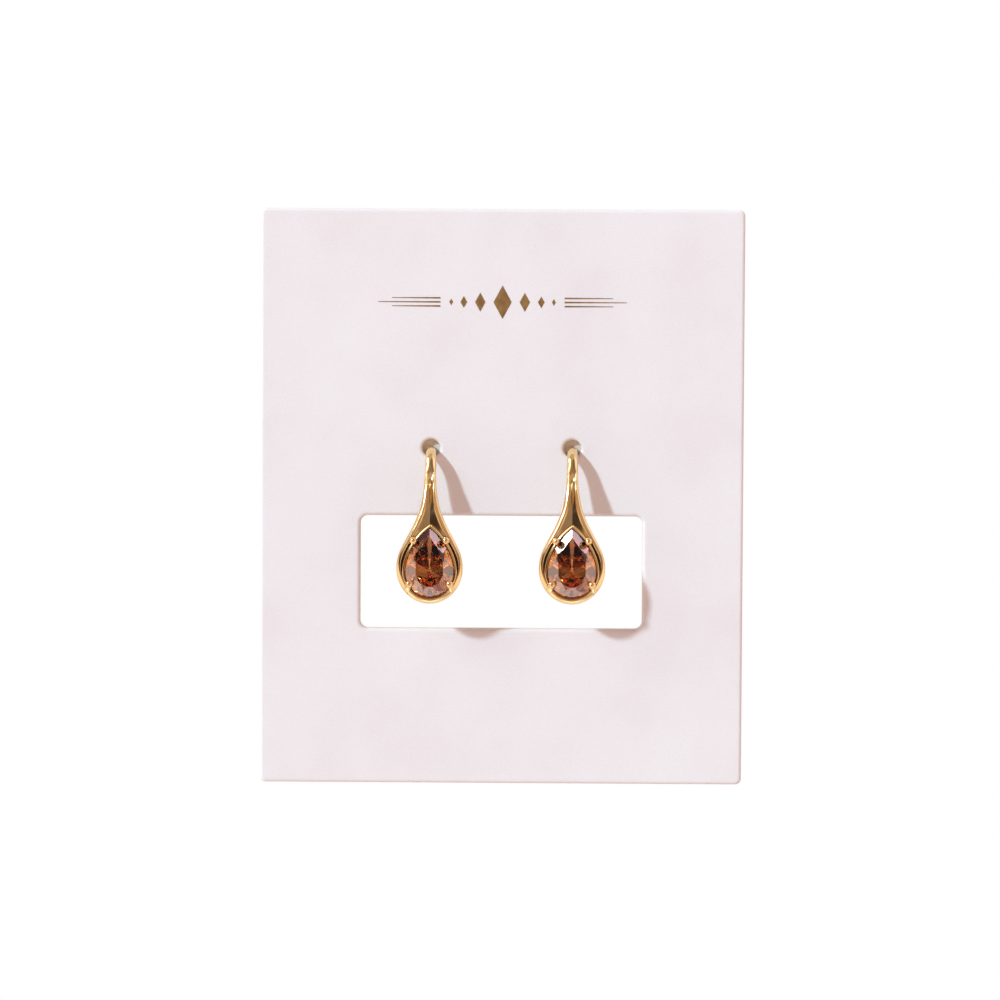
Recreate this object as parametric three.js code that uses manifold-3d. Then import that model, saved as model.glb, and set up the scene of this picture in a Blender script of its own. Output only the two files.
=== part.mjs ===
// A pair of teardrop earrings on their display card.
// Each earring is a gold casting (rim, grooved neck, stone collar, four prongs and ear hook in one piece)
// that holds a pear-cut stone. The hook passes through a round hole in the card, and the drop hangs in
// front of the card's window.
// Units are millimetres, +Z is up, the card faces -Y, and the origin is the middle of the card's foot.

import * as THREE from "three";
import { mergeVertices } from "three/addons/utils/BufferGeometryUtils.js";
import Module from "manifold-3d";

const wasm = await Module();
wasm.setup();

const RAD = Math.PI / 180;

// Display card
const CARD_WIDTH = 50;
const CARD_HEIGHT = 59.5;
const CARD_THICKNESS = 1.6;
const CARD_CORNER = 0.6;
const CARD_EDGE_ROUND = 0.28;
const WINDOW_WIDTH = 29.2;
const WINDOW_HEIGHT = 11.7;
const WINDOW_FOOT = 16.1;
const WINDOW_CORNER = 0.8;
const HOLE_SPREAD = 14.6;
const HOLE_HEIGHT = 34.8;
const HOLE_RADIUS = 0.9;
const HOLE_SIDES = 24;

// Pear-cut stone: a round end of half the width, and two flanks that meet in the tip
const STONE_WIDTH = 5;
const STONE_LENGTH = 7;
const ROUND_END_EXTRA = 7 * RAD;
const CROWN_HEIGHT = 0.72;
const GIRDLE_THICKNESS = 0.14;
const PAVILION_DEPTH = 2.05;
const TABLE_SHARE = 0.58;
const CULET_SHIFT = 0.15;
const OUTLINE_STEPS = 48;
const ROUND_STEPS_SHARE = 0.62;

// Facets of the stone, by the direction each faces in degrees. The halves and stars are on the right side
// and repeat on the left.
const CROWN_MAINS = [36, 144, 0, 180, -45, -135, -90];
const PAVILION_MAINS = [90, 36, 144, 0, 180, -45, -135, -90];
const HALF_FACETS = [52, 24, 12, -12, -33, -57, -78];
const STAR_FACETS = [64, 19, -22, -67];
const CROWN_HALF_STEEPER = 1.22;
const PAVILION_HALF_STEEPER = 1.12;
const STAR_SLOPE = 0.42;
const STAR_START = 0.97;

// Casting
const SEAT_LEAN = 4 * RAD;
const STONE_FOOT_RISE = 0.7;
const GIRDLE_LEVEL = 0.42;
const STONE_CLEARANCE = 0.06;
const RIM_WIDEST_RISE = 3.68;
const RIM_HALF_WIDTH = 3.42;
const HALF_DEPTH = 0.65;
const WEB_REACH = 0.36;
const WEB_FRONT = 0.26;
const WEB_END_RISE = 6.6;
const WEB_GONE_RISE = 8;
const COLLAR_GAP = 0.09;
const COLLAR_WALL = 0.2;
const COLLAR_FRONT = 0.6;
const COLLAR_TAPER = 0.08;
const COLLAR_BACK = -1.15;
const LEDGE_REACH = 0.25;
const LEDGE_LEVEL = 0.05;
const PRONG_POST_RADIUS = 0.25;
const PRONG_BEAD_RADIUS = 0.36;
const PRONG_BEAD_LEVEL = 0.86;
const PRONG_FOOT_LEVEL = -0.55;
const SHOULDER_RADIUS = 0.37;
const SHOULDER_LEVEL = 0.38;
const SHOULDER_ACROSS = 2.22;
const SHOULDER_RISE = 1.5;
const WIRE_RADIUS = 0.5;
const WIRE_TIP_RADIUS = 0.38;
const HOOK_CLEARANCE = 0.1;

// The spine of the casting, from the rim's foot over the arch to the hook's tip. Each run has a length
// along the spine and the angle that it turns through towards the card.
const SPINE_RUNS = [
  { run: "seat", length: 7.4, turn: 0 },
  { run: "neck", length: 4.3, turn: 14 * RAD },
  { run: "neck_top", length: 3.1, turn: 10 * RAD },
  { run: "front_arch", length: 2.16, turn: 62 * RAD },
  { run: "hole", length: 2.4, turn: 0 },
  { run: "back_arch", length: 4.2, turn: 84 * RAD },
  { run: "back_leg", length: 4.6, turn: 0 },
  { run: "tip", length: 2.2, turn: -26 * RAD },
];

// The flank of the rim and neck above the widest point, at rises along the spine: half the width, width of
// each rail, depth of the groove between the rails, and how far the grooved panel has turned into a bar
const FLANK = [
  { rise: 5.02, half: 3.22, rail: 0.48, groove: 0.55, round: 0 },
  { rise: 6.55, half: 2.51, rail: 0.48, groove: 0.55, round: 0 },
  { rise: 8.15, half: 1.67, rail: 0.4, groove: 0.52, round: 0 },
  { rise: 9.77, half: 1.04, rail: 0.33, groove: 0.42, round: 0 },
  { rise: 11.7, half: 0.7, rail: 0.27, groove: 0.26, round: 0.15 },
  { rise: 12.9, half: 0.61, rail: 0.22, groove: 0.1, round: 0.6 },
  { rise: 14.1, half: 0.575, rail: 0.2, groove: 0, round: 1 },
];
const RAIL_END_HALF_WIDTH = 0.4;
const RAIL_END_HALF_DEPTH = 0.26;
const PANEL_BACK = -0.52;

// Prong places: side, distance from the middle, and rise along the spine
const PRONGS = [
  { side: -1, across: 1.66, rise: 6.45 },
  { side: 1, across: 1.66, rise: 6.45 },
  { side: -1, across: 2.06, rise: 2 },
  { side: 1, across: 2.06, rise: 2 },
];

const NECK_STATIONS = 9;
const ARCH_STATIONS = 9;
const LEG_STATIONS = 4;
const SECTION_SIDES = 12;
const RIM_STATIONS = 48;
const PRONG_SIDES = 10;
const BEAD_STEPS = 5;
const SHOULDER_SIDES = 10;
const SHOULDER_STEPS = 6;

const SPINE_LENGTH = SPINE_RUNS.reduce((sum, run) => sum + run.length, 0);
const SEAT_CENTRE_RISE = STONE_FOOT_RISE + STONE_WIDTH / 2;
const PANEL_START_RISE = 6.5;

// Reads a column of the flank's table at a rise, in straight lines between its rows
function flankAt(column, rise) {
  const above = FLANK.findIndex((row) => row.rise > rise);
  if (above === 0) return FLANK[0][column];
  if (above === -1) return FLANK[FLANK.length - 1][column];
  const low = FLANK[above - 1];
  const high = FLANK[above];
  return THREE.MathUtils.mapLinear(rise, low.rise, high.rise, low[column], high[column]);
}

// Walks the spine up to a rise, and gives its place in the Y-Z plane and its heading from +Z towards +Y
function walkSpine(rise) {
  let y = 0;
  let z = 0;
  let heading = SEAT_LEAN;
  let left = rise;
  for (const { length, turn } of SPINE_RUNS) {
    const gone = Math.min(left, length);
    const turned = turn * (gone / length);
    if (Math.abs(turned) < 1e-9) {
      y += gone * Math.sin(heading);
      z += gone * Math.cos(heading);
    } else {
      const radius = length / turn;
      y += radius * (Math.cos(heading) - Math.cos(heading + turned));
      z += radius * (Math.sin(heading + turned) - Math.sin(heading));
    }
    heading += turned;
    left -= gone;
    if (left <= 0) break;
  }
  return { y, z, heading };
}

// The rise at which a named run starts
function riseOf(name) {
  const index = SPINE_RUNS.findIndex(({ run }) => run === name);
  return SPINE_RUNS.slice(0, index).reduce((sum, run) => sum + run.length, 0);
}

// The spine is moved so that its level stretch lies through the hole, just above the hole's lower edge
const holeMiddle = walkSpine((riseOf("hole") + riseOf("back_arch")) / 2);
const SPINE_Y = -holeMiddle.y;
const SPINE_Z = HOLE_HEIGHT - HOLE_RADIUS + WIRE_RADIUS + HOOK_CLEARANCE - holeMiddle.z;

// A point of the casting: across, at a rise along the spine, and in front of it by a level
function bend(across, rise, level) {
  const { y, z, heading } = walkSpine(rise);
  return new THREE.Vector3(
    across,
    SPINE_Y + y - level * Math.cos(heading),
    SPINE_Z + z + level * Math.sin(heading),
  );
}

// A closed geometry from points and triangles
function geometryOf(points, triangles) {
  const geometry = new THREE.BufferGeometry();
  geometry.setAttribute("position", new THREE.Float32BufferAttribute(points.flatMap((p) => p.toArray()), 3));
  geometry.setIndex(triangles);
  return geometry;
}

// Joins a row of closed sections. A closed row joins its last section to its first, and an open one
// gets a fan over each end.
function loft(sections, closed = false) {
  const sides = sections[0].length;
  const points = sections.flat();
  const triangles = [];
  const spans = closed ? sections.length : sections.length - 1;
  for (let i = 0; i < spans; i++) {
    const near = i * sides;
    const far = ((i + 1) % sections.length) * sides;
    for (let j = 0; j < sides; j++) {
      const k = (j + 1) % sides;
      triangles.push(near + j, near + k, far + k, near + j, far + k, far + j);
    }
  }
  if (!closed) {
    for (const [section, flip] of [[0, true], [sections.length - 1, false]]) {
      const centre = new THREE.Vector3();
      sections[section].forEach((p) => centre.add(p));
      const hub = points.push(centre.divideScalar(sides)) - 1;
      for (let j = 0; j < sides; j++) {
        const a = section * sides + j;
        const b = section * sides + ((j + 1) % sides);
        triangles.push(hub, flip ? b : a, flip ? a : b);
      }
    }
  }
  return geometryOf(points, triangles);
}

// A solid for cutting and joining, from any closed geometry
function solidOf(geometry) {
  const bare = geometry.clone();
  for (const name of Object.keys(bare.attributes)) {
    if (name !== "position") bare.deleteAttribute(name);
  }
  const merged = mergeVertices(bare, 1e-5);
  const solid = new wasm.Manifold(
    new wasm.Mesh({
      numProp: 3,
      vertProperties: merged.attributes.position.array,
      triVerts: Uint32Array.from(merged.index.array),
    }),
  );
  if (solid.volume() <= 0) throw new Error("a solid is inside out");
  return solid;
}

function geometryFrom(solid) {
  const { vertProperties, triVerts, numProp } = solid.getMesh();
  const geometry = new THREE.BufferGeometry();
  const positions = new Float32Array((vertProperties.length / numProp) * 3);
  for (let i = 0; i < positions.length / 3; i++) {
    for (let j = 0; j < 3; j++) positions[i * 3 + j] = vertProperties[i * numProp + j];
  }
  geometry.setAttribute("position", new THREE.BufferAttribute(positions, 3));
  geometry.setIndex(new THREE.BufferAttribute(triVerts, 1));
  geometry.computeVertexNormals();
  return geometry;
}

// The pear outline around the centre of its round end, with the tip at +Y. The flanks are arcs that leave
// the round end smoothly and meet in the tip. A margin moves the outline outward.
function pearOutline(margin = 0) {
  const roundRadius = STONE_WIDTH / 2;
  const tip = STONE_LENGTH - roundRadius;
  const lift = Math.sin(ROUND_END_EXTRA);
  const extra = (tip * tip - roundRadius * roundRadius) / (2 * (roundRadius - tip * lift));
  const flankRadius = roundRadius + extra;
  const flankX = -extra * Math.cos(ROUND_END_EXTRA);
  const flankY = -extra * lift;
  const tipAngle = Math.atan2(tip - flankY, -flankX);
  const half = OUTLINE_STEPS / 2;
  const roundSteps = Math.round(half * ROUND_STEPS_SHARE);
  const outline = [];
  for (let i = 0; i < half; i++) {
    const onRound = i <= roundSteps;
    const share = onRound ? i / roundSteps : (i - roundSteps) / (half - roundSteps);
    const angle = onRound
      ? THREE.MathUtils.lerp(-Math.PI / 2, ROUND_END_EXTRA, share)
      : THREE.MathUtils.lerp(ROUND_END_EXTRA, tipAngle, share);
    const radius = (onRound ? roundRadius : flankRadius) + margin;
    const x = (onRound ? 0 : flankX) + radius * Math.cos(angle);
    const y = (onRound ? 0 : flankY) + radius * Math.sin(angle);
    outline.push(new THREE.Vector2(x, y));
  }
  const tipReach = flankY + Math.sqrt((flankRadius + margin) ** 2 - flankX ** 2);
  const left = outline.slice(1).map((p) => new THREE.Vector2(-p.x, p.y)).reverse();
  return [...outline, new THREE.Vector2(0, tipReach), ...left];
}

// How far an outline reaches in a direction
function reach(outline, angle) {
  return Math.max(...outline.map((p) => p.x * Math.cos(angle) + p.y * Math.sin(angle)));
}

// The cut stone: a pear prism, trimmed by one plane for each facet. It lies with its girdle around the
// X-Y plane, its table towards +Z and its culet near the centre of the round end. A margin makes it larger
// all round.
function cutStone(margin = 0) {
  const outline = pearOutline(margin);
  const girdle = GIRDLE_THICKNESS / 2 + margin;
  const prism = new THREE.ExtrudeGeometry(new THREE.Shape(outline), {
    depth: CROWN_HEIGHT + PAVILION_DEPTH + 2 * girdle,
    bevelEnabled: false,
  }).translate(0, 0, -PAVILION_DEPTH - girdle);
  let stone = solidOf(prism);

  // Keeps what lies inside a plane that faces a direction, rises by a slope towards the middle, and
  // passes at a distance from the culet at a given height
  const trim = (degrees, slope, distance, height) => {
    const angle = degrees * RAD;
    const steep = Math.atan(Math.abs(slope));
    const inward = [-Math.sin(steep) * Math.cos(angle), -Math.sin(steep) * Math.sin(angle)];
    const down = -Math.sign(slope) * Math.cos(steep);
    const fromAxis = distance + CULET_SHIFT * Math.sin(angle);
    stone = stone.trimByPlane([...inward, down], -Math.sin(steep) * fromAxis - Math.cos(steep) * height);
  };
  const edgeOf = (degrees) => reach(outline, degrees * RAD) - CULET_SHIFT * Math.sin(degrees * RAD);
  const crownSlope = (degrees) => CROWN_HEIGHT / (edgeOf(degrees) * (1 - TABLE_SHARE));
  const pavilionSlope = (degrees) => -PAVILION_DEPTH / edgeOf(degrees);
  const bothSides = (list) => list.flatMap((degrees) => [degrees, 180 - degrees]);

  for (const facet of CROWN_MAINS) {
    trim(facet, crownSlope(facet), edgeOf(facet), girdle);
  }
  for (const facet of PAVILION_MAINS) {
    trim(facet, pavilionSlope(facet), edgeOf(facet), girdle);
  }
  for (const facet of bothSides(HALF_FACETS)) {
    trim(facet, CROWN_HALF_STEEPER * crownSlope(facet), edgeOf(facet), girdle);
    trim(facet, PAVILION_HALF_STEEPER * pavilionSlope(facet), edgeOf(facet), girdle);
  }
  for (const facet of bothSides(STAR_FACETS)) {
    trim(facet, STAR_SLOPE, edgeOf(facet) * TABLE_SHARE * STAR_START, CROWN_HEIGHT + girdle);
  }
  return stone;
}

// The outer outline of the rim, from the top of the left rail round the foot to the top of the right rail.
// The rails end inside the round bar.
function rimCurve() {
  const right = [];
  for (let angle = 0; angle <= 90; angle += 22.5) {
    const across = RIM_HALF_WIDTH * Math.sin(angle * RAD);
    right.push(new THREE.Vector3(across, RIM_WIDEST_RISE * (1 - Math.cos(angle * RAD)), 0));
  }
  const top = FLANK.length - 1;
  FLANK.slice(0, top).forEach(({ rise, half }) => right.push(new THREE.Vector3(half, rise, 0)));
  right.push(new THREE.Vector3(RAIL_END_HALF_WIDTH, FLANK[top].rise, 0));
  const left = right.slice(1).map((p) => new THREE.Vector3(-p.x, p.y, 0)).reverse();
  return new THREE.CatmullRomCurve3([...left, ...right], false, "centripetal");
}

// The rail that runs down one side of the neck, round the stone and up the other side. A web along its back
// closes the gap to the collar.
function rimSolid() {
  const curve = rimCurve();
  const sections = [];
  for (let i = 0; i <= RIM_STATIONS; i++) {
    const { x, y } = curve.getPointAt(i / RIM_STATIONS);
    const along = curve.getTangentAt(i / RIM_STATIONS);
    const inward = new THREE.Vector2(-along.y, along.x);
    const rail = flankAt("rail", y);
    const depth = THREE.MathUtils.lerp(HALF_DEPTH, RAIL_END_HALF_DEPTH, flankAt("round", y));
    const web = WEB_REACH * (1 - THREE.MathUtils.smoothstep(y, WEB_END_RISE, WEB_GONE_RISE));
    const corners = [
      { inset: 0, level: -depth + 0.1 },
      { inset: 0.5 * rail, level: -depth },
      { inset: rail + web, level: -depth + 0.08 },
      { inset: rail + web, level: -depth + WEB_FRONT },
      { inset: rail, level: -depth + WEB_FRONT + 0.04 },
      { inset: rail, level: depth - 0.2 },
      { inset: 0.6 * rail, level: depth },
      { inset: 0.2 * rail, level: depth - 0.06 },
      { inset: 0, level: depth - 0.24 },
    ];
    sections.push(
      corners.map(({ inset, level }) => bend(x + inward.x * inset, y + inward.y * inset, level)),
    );
  }
  return solidOf(loft(sections));
}

// One section of the neck and hook. The grooved panel fills the space between the rails, and turns into
// a round bar towards the arch.
function stemSection(rise) {
  const round = flankAt("round", rise);
  const groove = flankAt("groove", rise);
  const panelHalf = flankAt("half", rise) - 0.55 * flankAt("rail", rise);
  const front = HALF_DEPTH - groove;
  const edge = HALF_DEPTH - 0.4 * groove - 0.08;
  const taper = THREE.MathUtils.smoothstep(rise, riseOf("back_arch"), SPINE_LENGTH);
  const wire = THREE.MathUtils.lerp(WIRE_RADIUS, WIRE_TIP_RADIUS, taper);
  const intoHole = THREE.MathUtils.smoothstep(rise, riseOf("front_arch"), riseOf("hole"));
  const barHalf = THREE.MathUtils.lerp(flankAt("half", rise), wire, intoHole);
  const section = [];
  for (let i = 0; i < SECTION_SIDES; i++) {
    const turn = (360 * i) / SECTION_SIDES;
    const side = turn > 180 ? -1 : 1;
    const from = turn > 180 ? 360 - turn : turn;
    let across = panelHalf;
    let level = THREE.MathUtils.mapLinear(from, 60, 120, edge, PANEL_BACK);
    if (from < 60) {
      across = panelHalf * (from / 60);
      level = THREE.MathUtils.mapLinear(from, 0, 60, front, edge);
    } else if (from > 120) {
      across = panelHalf * (1 - (from - 120) / 60);
      level = PANEL_BACK;
    }
    across = side * THREE.MathUtils.lerp(across, barHalf * Math.sin(from * RAD), round);
    level = THREE.MathUtils.lerp(level, wire * Math.cos(from * RAD), round);
    section.push(bend(across, rise, level));
  }
  return section;
}

// The neck's panel, the arch and the ear hook, in one sweep that ends in a rounded tip
function stemSolid() {
  const rises = [];
  const spread = (from, to, steps) => {
    for (let i = 0; i < steps; i++) rises.push(THREE.MathUtils.lerp(from, to, i / steps));
  };
  spread(PANEL_START_RISE, riseOf("front_arch"), NECK_STATIONS);
  spread(riseOf("front_arch"), riseOf("hole"), ARCH_STATIONS);
  spread(riseOf("hole"), riseOf("back_leg"), ARCH_STATIONS);
  spread(riseOf("back_leg"), SPINE_LENGTH - WIRE_TIP_RADIUS, LEG_STATIONS);
  const sections = rises.map((rise) => stemSection(rise));
  for (const share of [0, 0.35, 0.65, 0.88]) {
    const rise = SPINE_LENGTH - WIRE_TIP_RADIUS * (1 - share);
    const centre = bend(0, rise, 0);
    const shrink = Math.sqrt(1 - share * share);
    sections.push(stemSection(rise).map((p) => p.sub(centre).multiplyScalar(shrink).add(centre)));
  }
  return solidOf(loft(sections));
}

// The collar that the stone sits in: a pear-shaped wall with a ledge under the stone's girdle
function collarSolid() {
  const wallOutside = COLLAR_GAP + COLLAR_WALL;
  const corners = [
    { margin: wallOutside - COLLAR_TAPER, level: COLLAR_BACK },
    { margin: -LEDGE_REACH, level: COLLAR_BACK },
    { margin: -LEDGE_REACH, level: LEDGE_LEVEL },
    { margin: COLLAR_GAP, level: LEDGE_LEVEL },
    { margin: COLLAR_GAP, level: COLLAR_FRONT },
    { margin: wallOutside, level: COLLAR_FRONT },
  ];
  const outlines = corners.map(({ margin }) => pearOutline(margin));
  const sections = outlines[0].map((_, i) =>
    corners.map(({ level }, j) => bend(outlines[j][i].x, SEAT_CENTRE_RISE + outlines[j][i].y, level)),
  );
  return solidOf(loft(sections, true));
}

// A pear-shaped plug that clears the panel from inside the collar
function collarPlug() {
  const outline = pearOutline(COLLAR_GAP + COLLAR_WALL / 2);
  const levels = [-2, 2];
  const sections = levels.map((level) => outline.map((p) => bend(p.x, SEAT_CENTRE_RISE + p.y, level)));
  return solidOf(loft(sections));
}

// A prong: a straight post with a bead on its end, standing square to the seat
function prongSolid({ side, across, rise }) {
  const profile = [
    new THREE.Vector2(0, PRONG_FOOT_LEVEL),
    new THREE.Vector2(PRONG_POST_RADIUS, PRONG_FOOT_LEVEL),
  ];
  const under = -Math.acos(PRONG_POST_RADIUS / PRONG_BEAD_RADIUS);
  for (let i = 0; i < BEAD_STEPS; i++) {
    const angle = THREE.MathUtils.lerp(under, Math.PI / 2, i / BEAD_STEPS);
    const up = PRONG_BEAD_RADIUS * Math.sin(angle);
    profile.push(new THREE.Vector2(PRONG_BEAD_RADIUS * Math.cos(angle), PRONG_BEAD_LEVEL + up));
  }
  profile.push(new THREE.Vector2(0, PRONG_BEAD_LEVEL + PRONG_BEAD_RADIUS));
  const place = bend(side * across, rise, 0);
  const prong = new THREE.LatheGeometry(profile, PRONG_SIDES)
    .rotateX(Math.PI - SEAT_LEAN)
    .translate(place.x, place.y, place.z);
  return solidOf(prong);
}

// The round shoulder on the rim that a lower prong rises from
function shoulderSolid(side) {
  const place = bend(side * SHOULDER_ACROSS, SHOULDER_RISE, SHOULDER_LEVEL);
  return solidOf(
    new THREE.SphereGeometry(SHOULDER_RADIUS, SHOULDER_SIDES, SHOULDER_STEPS)
      .translate(place.x, place.y, place.z),
  );
}

const stoneGeometry = geometryFrom(cutStone());
const seatPlace = bend(0, SEAT_CENTRE_RISE, GIRDLE_LEVEL);
const seatTurn = Math.PI / 2 - SEAT_LEAN;

// The whole casting. The room that the stone takes, and a little more, is cut from collar and prongs.
function castingSolid() {
  let casting = stemSolid().subtract(collarPlug());
  casting = casting.add(rimSolid()).add(collarSolid());
  for (const prong of PRONGS) {
    casting = casting.add(prongSolid(prong));
  }
  casting = casting.add(shoulderSolid(-1)).add(shoulderSolid(1));
  const stoneRoom = geometryFrom(cutStone(STONE_CLEARANCE))
    .rotateX(seatTurn)
    .translate(seatPlace.x, seatPlace.y, seatPlace.z);
  return casting.subtract(solidOf(stoneRoom));
}

// A rectangle with round corners, standing on its foot
function roundedRectangle(path, width, foot, height, corner) {
  const half = width / 2;
  const top = foot + height;
  path.moveTo(-half + corner, foot);
  path.lineTo(half - corner, foot);
  path.absarc(half - corner, foot + corner, corner, -Math.PI / 2, 0);
  path.lineTo(half, top - corner);
  path.absarc(half - corner, top - corner, corner, 0, Math.PI / 2);
  path.lineTo(-half + corner, top);
  path.absarc(-half + corner, top - corner, corner, Math.PI / 2, Math.PI);
  path.lineTo(-half, foot + corner);
  path.absarc(-half + corner, foot + corner, corner, Math.PI, 1.5 * Math.PI);
  return path;
}

// The card: a stiff board with softly rounded edges, its window and a hole for each hook
function cardGeometry() {
  const card = roundedRectangle(new THREE.Shape(), CARD_WIDTH, 0, CARD_HEIGHT, CARD_CORNER);
  card.holes.push(
    roundedRectangle(new THREE.Path(), WINDOW_WIDTH, WINDOW_FOOT, WINDOW_HEIGHT, WINDOW_CORNER),
  );
  for (const side of [-1, 1]) {
    const hole = new THREE.Path();
    for (let i = 0; i < HOLE_SIDES; i++) {
      const angle = (2 * Math.PI * i) / HOLE_SIDES;
      const x = (side * HOLE_SPREAD) / 2 + HOLE_RADIUS * Math.cos(angle);
      const y = HOLE_HEIGHT + HOLE_RADIUS * Math.sin(angle);
      if (i === 0) hole.moveTo(x, y);
      else hole.lineTo(x, y);
    }
    hole.closePath();
    card.holes.push(hole);
  }
  return new THREE.ExtrudeGeometry(card, {
    depth: CARD_THICKNESS - 2 * CARD_EDGE_ROUND,
    curveSegments: 4,
    bevelEnabled: true,
    bevelThickness: CARD_EDGE_ROUND,
    bevelSize: CARD_EDGE_ROUND,
    bevelOffset: -CARD_EDGE_ROUND,
    bevelSegments: 2,
  });
}

const cardBoard = new THREE.MeshStandardMaterial({ color: 0xefe9e9, roughness: 0.75, metalness: 0 });
const polishedGold = new THREE.MeshStandardMaterial({ color: 0xe3b264, roughness: 0.12, metalness: 1 });
const champagneStone = new THREE.MeshStandardMaterial({ color: 0xa0552a, roughness: 0.02, metalness: 0 });

const pair = new THREE.Group();
pair.name = "earrings_on_card";

const card = new THREE.Mesh(cardGeometry(), cardBoard);
card.name = "display_card";
card.rotation.x = Math.PI / 2;
card.position.y = CARD_THICKNESS / 2 - CARD_EDGE_ROUND;
pair.add(card);

const castingGeometry = geometryFrom(castingSolid());

for (const [name, side] of [["left", -1], ["right", 1]]) {
  const earring = new THREE.Group();
  earring.position.x = (side * HOLE_SPREAD) / 2;

  const casting = new THREE.Mesh(castingGeometry, polishedGold);
  casting.name = `${name}_hook_and_setting`;
  earring.add(casting);

  const stone = new THREE.Mesh(stoneGeometry, champagneStone);
  stone.name = `${name}_pear_stone`;
  stone.rotation.x = seatTurn;
  stone.position.copy(seatPlace);
  earring.add(stone);

  pair.add(earring);
}

export default pair;
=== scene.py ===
"""A pair of gold teardrop earrings on a white display card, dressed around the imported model.

Shapes are worked out in millimetres, in the model's own frame: the card stands in the X-Z plane, faces -Y
and has its foot at z = 0. Each mesh is scaled to metres as it is made.
"""

import math

import bmesh
import bpy
from mathutils import Matrix, Vector


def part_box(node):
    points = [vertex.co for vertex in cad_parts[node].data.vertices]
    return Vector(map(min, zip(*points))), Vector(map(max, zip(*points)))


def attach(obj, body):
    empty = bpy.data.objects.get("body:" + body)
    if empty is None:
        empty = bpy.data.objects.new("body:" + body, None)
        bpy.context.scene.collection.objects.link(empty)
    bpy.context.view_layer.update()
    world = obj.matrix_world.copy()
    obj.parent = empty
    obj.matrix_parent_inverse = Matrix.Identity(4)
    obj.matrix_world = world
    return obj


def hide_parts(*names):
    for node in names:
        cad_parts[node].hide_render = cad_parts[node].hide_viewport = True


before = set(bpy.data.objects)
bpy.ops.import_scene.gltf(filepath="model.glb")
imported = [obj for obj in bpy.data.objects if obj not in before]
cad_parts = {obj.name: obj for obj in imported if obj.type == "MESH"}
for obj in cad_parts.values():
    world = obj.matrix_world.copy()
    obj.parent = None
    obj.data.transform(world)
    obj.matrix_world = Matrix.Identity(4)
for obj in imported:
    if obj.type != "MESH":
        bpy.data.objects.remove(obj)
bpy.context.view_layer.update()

MM = 0.001

# Card, from the model's own box
CARD_LOW, CARD_HIGH = (Vector(corner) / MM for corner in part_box("display_card"))
CARD_HALF_WIDTH = (CARD_HIGH.x - CARD_LOW.x) / 2
CARD_HEIGHT = CARD_HIGH.z
CARD_HALF_THICKNESS = (CARD_HIGH.y - CARD_LOW.y) / 2
CARD_CORNER = 0.6
CARD_LEAST_CORNER = 0.1
CARD_CORNER_SHRINK = 0.6
CARD_EDGE_ROUND = 0.34
CARD_SHARP_ANGLE = math.radians(50)
EDGE_LAND = 0.12
WINDOW_HALF_WIDTH = 14.6
WINDOW_FOOT = 16.1
WINDOW_HEIGHT = 11.7
WINDOW_CORNER = 0.8
WINDOW_EDGE_ROUND = 0.4
PAPER_SKIN = 0.35
PAPER_SKIN_EDGE = 0.3 * PAPER_SKIN
HOLE_HEIGHT = 34.8
HOLE_RADIUS = 0.9
HOLE_EDGE_ROUND = 0.38
HOLE_LEDGE = 0.1
BACK_HOLE_RADIUS = 0.515
BACK_HOLE_MARK = -1.0

# Earrings, from the model's own boxes
STONE_LOW, STONE_HIGH = (Vector(corner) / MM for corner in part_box("left_pear_stone"))
EARRING_X = -(STONE_LOW.x + STONE_HIGH.x) / 2
WIRE_RADIUS = 0.5
WIRE_TIP_RADIUS = 0.38
HOOK_CLEARANCE = 0.1
WIRE_HEIGHT = HOLE_HEIGHT - HOLE_RADIUS + HOOK_CLEARANCE + WIRE_RADIUS
HALF_DEPTH = 0.65
WEB_REACH = 0.36
WEB_FRONT = 0.26
WEB_START_SHARE = 0.4
WEB_BACK_LIFT = 0.08
WEB_END_RISE = 6.6
WEB_GONE_RISE = 8.0
PANEL_BACK = -0.52
PANEL_START = 6.4
PANEL_INTO_RAIL = 0.6
PANEL_CORNER_TURN = 60
RIM_HALF_WIDTH = 3.42
RIM_WIDEST_RISE = 3.68
RAIL_END_RISE = 0.3
RAIL_END_HALF_WIDTH = 0.36
RAIL_END_HALF_DEPTH = 0.2
SEAT_LEAN = math.radians(4)

# The rail's section from its outer to its inner side: shares of its width, with the distance from its back
# face, and from its front face on the flanks and at the rim's foot, into which the flanks blend
RAIL_BACK = ((0.0, 0.1), (0.5, 0.0), (1.0, 0.12))
RAIL_FRONT_ON_FLANK = ((1.0, 0.3), (0.9, 0.03), (0.5, 0.04), (0.14, 0.19), (0.0, 0.4))
RAIL_FRONT_AT_FOOT = ((1.0, 0.12), (0.97, -0.01), (0.5, 0.1), (0.1, 0.28), (0.0, 0.42))
RAIL_FOOT_RISES = (2.4, 4.2)

# The spine from the rim's foot to the hook's tip: length and turn towards the card, run by run
SPINE = {
    "seat": (7.4, 0.0),
    "neck": (4.3, 14.0),
    "neck_top": (3.1, 10.0),
    "front_arch": (2.16, 62.0),
    "hole": (2.4, 0.0),
    "back_arch": (4.2, 84.0),
    "back_leg": (4.6, 0.0),
    "tip": (2.2, -26.0),
}
SPINE_LENGTH = sum(length for length, turn in SPINE.values())

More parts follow.
